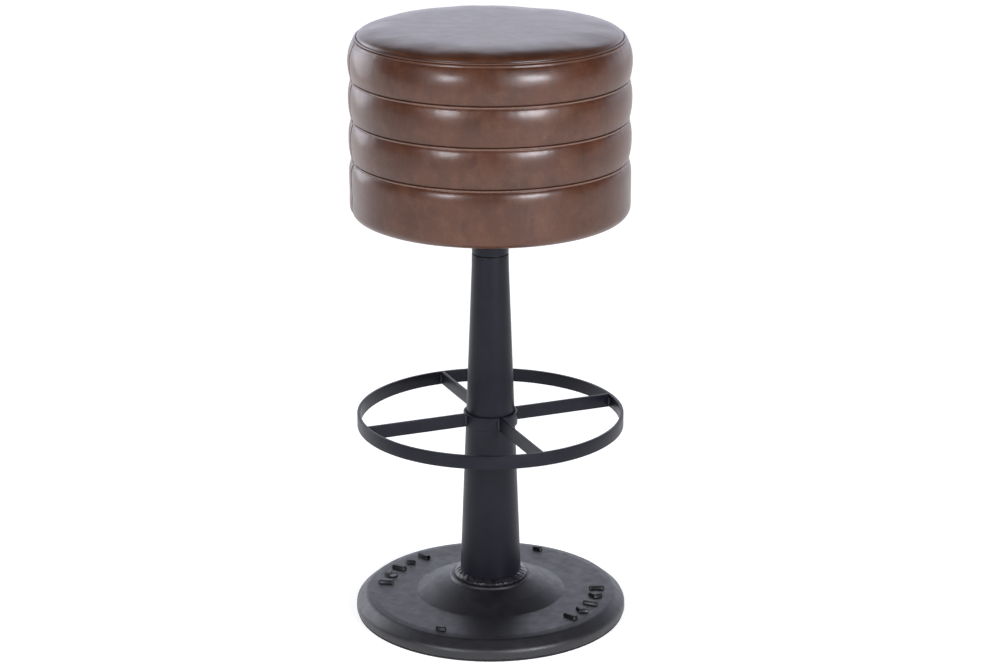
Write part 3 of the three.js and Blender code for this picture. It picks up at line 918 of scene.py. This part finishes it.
def make_band(index, swell):
    """One leather band, as a closed sheet with its thickness."""
    top = SEAMS[index] - (1.2 * MM if index == 0 else 0.1 * MM)
    bottom = NO_SEAM if index == LAST else SEAMS[index + 1] + 0.1 * MM
    name = f"seat_band_{index + 1}"
    bm = bmesh.new()
    rings, shares, edge_highlights = [], [], []
    for angle in band_angles():
        if index == LAST:
            outline = last_band_outline(swell, angle, top)
        else:
            heights = band_heights(top, bottom)
            outline = [(leather_radius(swell, angle, z, top, bottom), z) for z in heights]
        outline += [inset(r, z) for r, z in reversed(outline)]
        rings.append([bm.verts.new(polar(r, angle, z)) for r, z in outline])
        # Painted shade: how far the colour is darkened in each stitched groove.
        shares += [groove_shade_share(z, top, bottom, angle) for _, z in outline]
        # Painted highlight on the folded lip at the band's top.
        edge_highlights += [edge_highlight_share(z, top) for _, z in outline]
    bridge_round(bm, rings)
    mesh = to_mesh(name, bm, 70)
    write_share(mesh, "seam", shares)
    write_share(mesh, "edge_highlight", edge_highlights)
    band = add_piece(name, mesh, "seat", "leather_brown", f"leather_band_{index + 1}")


def inset(r, z):
    """A point of the leather's inner face, one thickness inside the outer face and its rolled edge."""
    centre = Vector((SEAT_RADIUS - ROLL, SEAT_BOTTOM + ROLL))
    if z > centre.y + 1 * MM:
        return r - LEATHER, z
    if r < centre.x:
        return r, z + LEATHER
    out = Vector((r, z)) - centre
    shorter = out * (1 - LEATHER / out.length)
    return centre.x + shorter.x, centre.y + shorter.y


def last_band_outline(swell, angle, top):
    """Down the tall lowest band, round the drum's edge and under it, where the hide is gathered."""
    floor = SEAT_BOTTOM + ROLL
    side = [z for z in band_heights(top, floor - 9.5 * MM) if z > floor + 0.5 * MM]
    outline = [(leather_radius(swell, angle, z, top, NO_SEAM), z) for z in side]
    centre_radius = outline[-1][0] - ROLL
    roll_steps, under_steps = 9, 6
    for k in range(1, roll_steps + 1):
        a = -k / roll_steps * math.pi / 2
        outline.append((centre_radius + ROLL * math.cos(a), floor + ROLL * math.sin(a)))
    edge = SEAT_RADIUS - 30 * MM
    inner_start = outline[-1][0]
    for k in range(1, under_steps + 1):
        share = k / under_steps
        gather = round_noise(angle, 34, share)
        lift = 0.7 * MM * max(0.0, gather) * math.sin(share * math.pi / 2)
        outline.append((inner_start + (edge - inner_start) * share, SEAT_BOTTOM + lift))
    return outline


# ---- top panel ----


def disc_to_square(x, y):
    """Where a point of the unit disc lies on the square grid that is mapped to it."""
    base = 2 + x * x - y * y
    other = 2 - x * x + y * y
    k = 2 * math.sqrt(2)
    u = (math.sqrt(max(0, base + k * x)) - math.sqrt(max(0, base - k * x))) / 2
    v = (math.sqrt(max(0, other + k * y)) - math.sqrt(max(0, other - k * y))) / 2
    return u, v


TOP_CELLS = 72


def top_swell():
    """Rise of the top panel when it is blown up inside its seam, on a square grid mapped to the disc."""
    n = TOP_CELLS
    upper, lower = [], []
    bm = bmesh.new()
    for grid, depth in ((upper, 0.0), (lower, 30 * MM)):
        for i in range(n + 1):
            row = []
            for j in range(n + 1):
                u, v = 2 * i / n - 1, 2 * j / n - 1
                x = u * math.sqrt(1 - v * v / 2) * TOP_SEAM_RADIUS
                y = v * math.sqrt(1 - u * u / 2) * TOP_SEAM_RADIUS
                z = crown_height(math.hypot(x, y)) + 0.25 * MM * noise.noise(Vector((x * 30, y * 30, 2)))
                edge = i in (0, n) or j in (0, n)
                if grid is lower and edge:
                    row.append(upper[i][j])
                else:
                    row.append(bm.verts.new((x, y, z - depth)))
            grid.append(row)
        for i in range(n):
            for j in range(n):
                bm.faces.new((grid[i][j], grid[i + 1][j], grid[i + 1][j + 1], grid[i][j + 1]))
    bm.verts.index_update()
    held = [v.index for row in lower for v in row]
    places = [[v.index for v in row] for row in upper]
    _, moves = inflate("top_swell", bm, held, 1.4 * MM)
    return soften_grid([[moves[index].z for index in row] for row in places])


def sample_top(grid, x, y):
    """The top panel's rise at a point."""
    u, v = disc_to_square(x / TOP_SEAM_RADIUS, y / TOP_SEAM_RADIUS)
    return between(grid, (u + 1) / 2 * TOP_CELLS, (v + 1) / 2 * TOP_CELLS)


def panel_height(grid, x, y, edge):
    """Height of the top panel at a point: its crown, swell and unevenness, and the tuck at its edge."""
    inward = edge - math.hypot(x, y)
    broad = 0.5 * MM * noise.noise(Vector((x * 11, y * 11, 5))) * min(1, inward / (20 * MM))
    small = 0.16 * MM * noise.noise(Vector((x * 60, y * 60, 1)))
    tuck = 1.5 * MM * bell(inward, 0.9 * MM)
    return crown_height(math.hypot(x, y)) + sample_top(grid, x, y) + broad + small - tuck


def make_top_panel():
    """The round top: nearly flat, a soft shoulder, and an edge that rolls down against the welt."""
    grid = top_swell()
    edge = TOP_SEAM_RADIUS - 1.7 * MM
    radii = [3 * MM, 9 * MM] + [k * 6 * MM for k in range(3, 24)]
    near_edge = (27, 23, 19, 16, 13, 10.5, 8, 6, 4.5, 3.2, 2.2, 1.4, 0.8, 0.35, 0.1)
    radii += [edge - inward * MM for inward in near_edge]
    around = 384
    loops, shares = [], []
    for r in radii:
        places = [polar(r, TURN * k / around, 0)[:2] for k in range(around)]
        loops.append([Vector((x, y, panel_height(grid, x, y, edge))) for x, y in places])
        # Painted shade: the colour darkens into the tuck at the panel's edge.
        shares += [math.exp(-(edge - r) / (0.5 * MM))] * around
    under = [[p - Vector((0, 0, LEATHER)) for p in loop] for loop in reversed(loops)]
    bm = bmesh.new()
    loft(bm, loops + under)
    mesh = to_mesh("seat_top_panel", bm, 70)
    write_share(mesh, "seam", shares + [0.0] * len(shares))
    panel = add_piece("seat_top_panel", mesh, "seat", "leather_brown", "leather_top")


def make_welt():
    """The narrow rolled welt between the top panel and the first band."""
    size, middle = 1.55 * MM, SEAMS[0] - 0.1 * MM
    section = [(TOP_SEAM_RADIUS + size * a, middle + size * 0.9 * b) for a, b in circle(12)]
    bm = bmesh.new()
    revolve(bm, section, 768, lambda angle, r, z: (r + 0.15 * MM * round_noise(angle, 30, 4), z))
    mesh = to_mesh("seat_welt", bm)
    # Painted highlight: the whole rolled welt is made a little lighter.
    write_share(mesh, "edge_highlight", [0.4] * len(mesh.vertices))
    add_piece("seat_welt", mesh, "seat", "leather_brown", "top_welt")


# ---- thread ----


def add_stitch(bm, middle, along, outward, length, width):
    """One stitch: a short bead of thread that dives into the leather at both ends."""
    across = along.cross(outward)
    steps = 6
    loops = []
    for k in range(steps + 1):
        share = k / steps - 0.5
        size = width / 2 * max(math.cos(share * math.pi) ** 0.5, 0.25)
        centre = middle + along * (share * length) - outward * (width * 0.9 * (2 * share) ** 2)
        loops.append([centre + across * (size * a) + outward * (size * b) for a, b in circle(8)])
    loft(bm, loops)


def make_stitching(swell):
    """A row of stitches under each side seam."""
    pitch, length, width = 3.5 * MM, 2.6 * MM, 0.75 * MM
    count = round(TURN * SEAT_RADIUS / pitch)
    for index in range(1, LAST + 1):
        top = SEAMS[index] - 0.1 * MM
        low = SEAMS[index + 1] if index < LAST else NO_SEAM
        z = SEAMS[index] - 2.0 * MM
        bm = bmesh.new()
        for k in range(count):
            a = TURN * k / count
            r = leather_radius(swell, a, z, top, low) + 0.12 * MM
            outward = Vector(polar(1, a, 0))
            tilt = Vector((-math.sin(a), math.cos(a), 0.05 * math.sin(k * 1.7))).normalized()
            add_stitch(bm, Vector(polar(r, a, z)), tilt, outward, length, width)
        add_piece(f"seat_stitching_{index}", to_mesh("stitching", bm), "seat", None, material=THREAD)


def pinched(angle, r, z):
    """The padding's uneven side, drawn in behind the upright seam."""
    bumpy, _ = lumpy(0.6 * MM, 30, 8.0)(angle, r, z)
    return bumpy - 6 * MM * bell(from_end_seam(angle), 9 * MM), z


def make_foam():
    """The padding under the leather."""
    low, high = bottom_of("side_padding"), top_of("side_padding")
    inner, outer = 164.8 * MM, radius_of("side_padding") - 1.3 * MM
    wrap = turned("foam_wrap", [
        (inner, low, 2 * MM), (outer, low, 9 * MM), (outer, high, 2 * MM), (inner, high, 2 * MM),
    ], "seat", "foam", "side_padding", around=256, wobble=pinched)
    base, top = bottom_of("top_foam"), top_of("top_foam")
    core, shoulder, reach = 2 * MM, 150 * MM, outer - 2 * MM
    pad = turned("foam_pad", [
        (core, base, 0), (reach, base, 3 * MM), (reach, SEAMS[0] - 8 * MM, 8 * MM),
        (shoulder, top - 7 * MM, 30 * MM), (core, top - 4 * MM, 0),
    ], "seat", "foam", "top_foam", around=128, wobble=lumpy(0.3 * MM, 30, 9.0))


# ---- underside ----


def make_dust_cloth():
    """Black cloth stretched under the drum, stapled over the edge of the leather."""
    inner, outer = 24 * MM, radius_of("dust_cloth")
    board, skirt = top_of("dust_cloth") - 0.1 * MM, bottom_of("dust_cloth") + 0.7 * MM
    thickness, flat = 0.6 * MM, 128 * MM

    def drop(r):
        share = min(max((r - flat) / (24 * MM), 0), 1)
        return share * share * (3 - 2 * share)

    radii = [inner, *(r * MM for r in (40, 60, 80, 100, 115, 128, 138, 145, 149, 152, 154)), outer]
    face = [(r, board + (skirt - board) * drop(r)) for r in radii]
    back = [(r, z - thickness) for r, z in reversed(face)]
    bm = bmesh.new()
    revolve(bm, face + back, 288,
            lambda angle, r, z: (r, z + 0.35 * MM * round_noise(angle, 14, r * 20) * drop(r)))
    mesh = to_mesh("under_cloth", bm)
    cloth = add_piece("under_cloth", mesh, "seat", "dust_cloth", "dust_cloth")


def make_staples():
    """The staples that hold the cloth: wire crowns laid round its edge."""
    count, crown, wire = 36, 10 * MM, 0.6 * MM
    reach = radius_of("dust_cloth") - 4 * MM
    height = bottom_of("dust_cloth") - 0.1 * MM
    section = rounded_box(-wire, -wire / 2, wire, wire / 2, 0.2 * MM, 2)
    bm = bmesh.new()
    for k in range(count):
        angle = TURN * k / count + 0.02 * math.sin(k * 2.3)
        tilt = Matrix.Rotation(0.12 * math.sin(k * 1.9), 3, "Z")
        turn = Matrix.Rotation(angle, 3, "Z")
        loops = []
        for along, dive in ((-0.5, 1.6), (-0.46, 0.3), (-0.4, 0), (0.4, 0), (0.46, 0.3), (0.5, 1.6)):
            loop = [tilt @ Vector((x, along * crown, z)) for x, z in section]
            loops.append([turn @ (p + Vector((reach, 0, height + dive * wire))) for p in loop])
        loft(bm, loops)
    add_piece("under_staples", to_mesh("under_staples", bm), "seat", "steel_bright")


# ---- stage ----

CAMERA_TURN = math.radians(-22.5)  # the camera's place round the stool, from straight in front of it
CAMERA_HEIGHT = 1.454
CAMERA_DISTANCE = 3.315
CAMERA_PITCH = math.radians(17.8)
CAMERA_ASIDE = 0.0127
LENS, SENSOR = 95.15, 36  # in millimetres, as Blender counts them
LIGHT_DISTANCE = 2.6


def seen_from(turn, distance, height, aside=0.0):
    """A place at a distance from the axis, turned from the front, and moved to its own right."""
    back = Vector((math.sin(turn), -math.cos(turn), 0))
    right = Vector((math.cos(turn), math.sin(turn), 0))
    return back * distance + right * aside + Vector((0, 0, height))


def make_camera():
    data = bpy.data.cameras.new("camera")
    data.lens = LENS
    data.sensor_width = SENSOR
    data.clip_end = 60
    camera = add_object("camera", data)
    camera.location = seen_from(CAMERA_TURN, CAMERA_DISTANCE, CAMERA_HEIGHT, CAMERA_ASIDE)
    camera.rotation_euler = (math.pi / 2 - CAMERA_PITCH, 0, CAMERA_TURN)
    bpy.context.scene.camera = camera


def add_light(name, turn_degrees, height, width, tall, power, aim):
    """A softbox round the stool, turned from the camera's side and aimed at a height of the axis."""
    data = bpy.data.lights.new(name, "AREA")
    data.shape = "ELLIPSE"
    data.size = width
    data.size_y = tall
    data.energy = power
    data.color = (0.92, 0.93, 1.0)
    light = add_object(name, data)
    light.location = seen_from(CAMERA_TURN + math.radians(turn_degrees), LIGHT_DISTANCE, height)
    towards = Vector((0, 0, aim)) - light.location
    light.rotation_euler = towards.to_track_quat("-Z", "Y").to_euler()


def make_floor():
    """A wide pale floor that glows a little, and less so close to the stool, as a painted shadow."""
    mesh = bpy.data.meshes.new("floor")
    size = 14
    corners = [(-size, -size, 0), (size, -size, 0), (size, size, 0), (-size, size, 0)]
    mesh.from_pydata(corners, [], [(0, 1, 2, 3)])
    floor = add_object("floor", mesh)
    m = Nodes("floor", specular_ior_level=0.1, emission_color=(1, 1, 1, 1))
    away = m.add("ShaderNodeVectorMath", {0: m.place}, operation="LENGTH").outputs["Value"]
    # Painted shadow: the glow is weaker close to the stool.
    m.link(m.remap(away, 0.3, 3.0, 0.58, 0.85), m.shader.inputs["Emission Strength"])
    tone = m.ramp(m.noise(3), (0.3, (0.79, 0.79, 0.79)), (0.7, (0.81, 0.81, 0.81)))
    roughness = m.remap(m.noise(5), 0, 1, 0.8, 0.9)
    mesh.materials.append(m.finish(tone, roughness, m.bump(m.noise(50), 0.1 * MM, 0.1)))


def make_world():
    """A studio that is bright behind the stool and dark in front. The camera sees it white."""
    world = bpy.data.worlds.new("studio")
    world.use_nodes = True
    tree = world.node_tree
    towards = seen_from(CAMERA_TURN, 1, 0)
    bright, dark, white = (1.5, 1.54, 1.78, 1), (0.09, 0.09, 0.10, 1), (1, 1, 1, 1)
    place = add_node(tree, "ShaderNodeTexCoord").outputs["Generated"]
    inputs = {0: place, 1: (towards.x, towards.y, 0.95)}
    front = add_node(tree, "ShaderNodeVectorMath", inputs, operation="DOT_PRODUCT").outputs["Value"]
    inputs = {"Value": front, "From Min": -0.45, "From Max": -0.15}
    fade = add_node(tree, "ShaderNodeMapRange", inputs, interpolation_type="SMOOTHSTEP").outputs["Result"]
    inputs = {0: fade, 6: bright, 7: dark}
    studio = add_node(tree, "ShaderNodeMix", inputs, data_type="RGBA").outputs[2]
    inputs = {0: add_node(tree, "ShaderNodeLightPath").outputs["Is Camera Ray"], 6: studio, 7: white}
    seen = add_node(tree, "ShaderNodeMix", inputs, data_type="RGBA").outputs[2]
    tree.links.new(seen, tree.nodes["Background"].inputs["Color"])
    bpy.context.scene.world = world
    bpy.context.scene.view_settings.view_transform = "Standard"


def make_stage():
    make_floor()
    make_world()
    add_light("softbox_left", turn_degrees=-34, height=1.3, width=0.8, tall=0.65, power=40, aim=0.7)
    add_light("rim_left", turn_degrees=-124, height=1.2, width=1.3, tall=2.2, power=26, aim=0.6)
    add_light("softbox_right", turn_degrees=34, height=1.3, width=1.1, tall=0.65, power=73, aim=0.7)


# ---- the stool ----

paint_cad_nodes()
make_camera()
make_stage()
make_base()
make_marks()
make_floor_ring()
make_column()
make_base_weld()
make_footrest()
make_footrest_welds()
make_sleeve()
side = side_swell()
for number in range(4):
    make_band(number, side)
make_top_panel()
make_welt()
make_stitching(side)
make_foam()
make_dust_cloth()
make_staples()
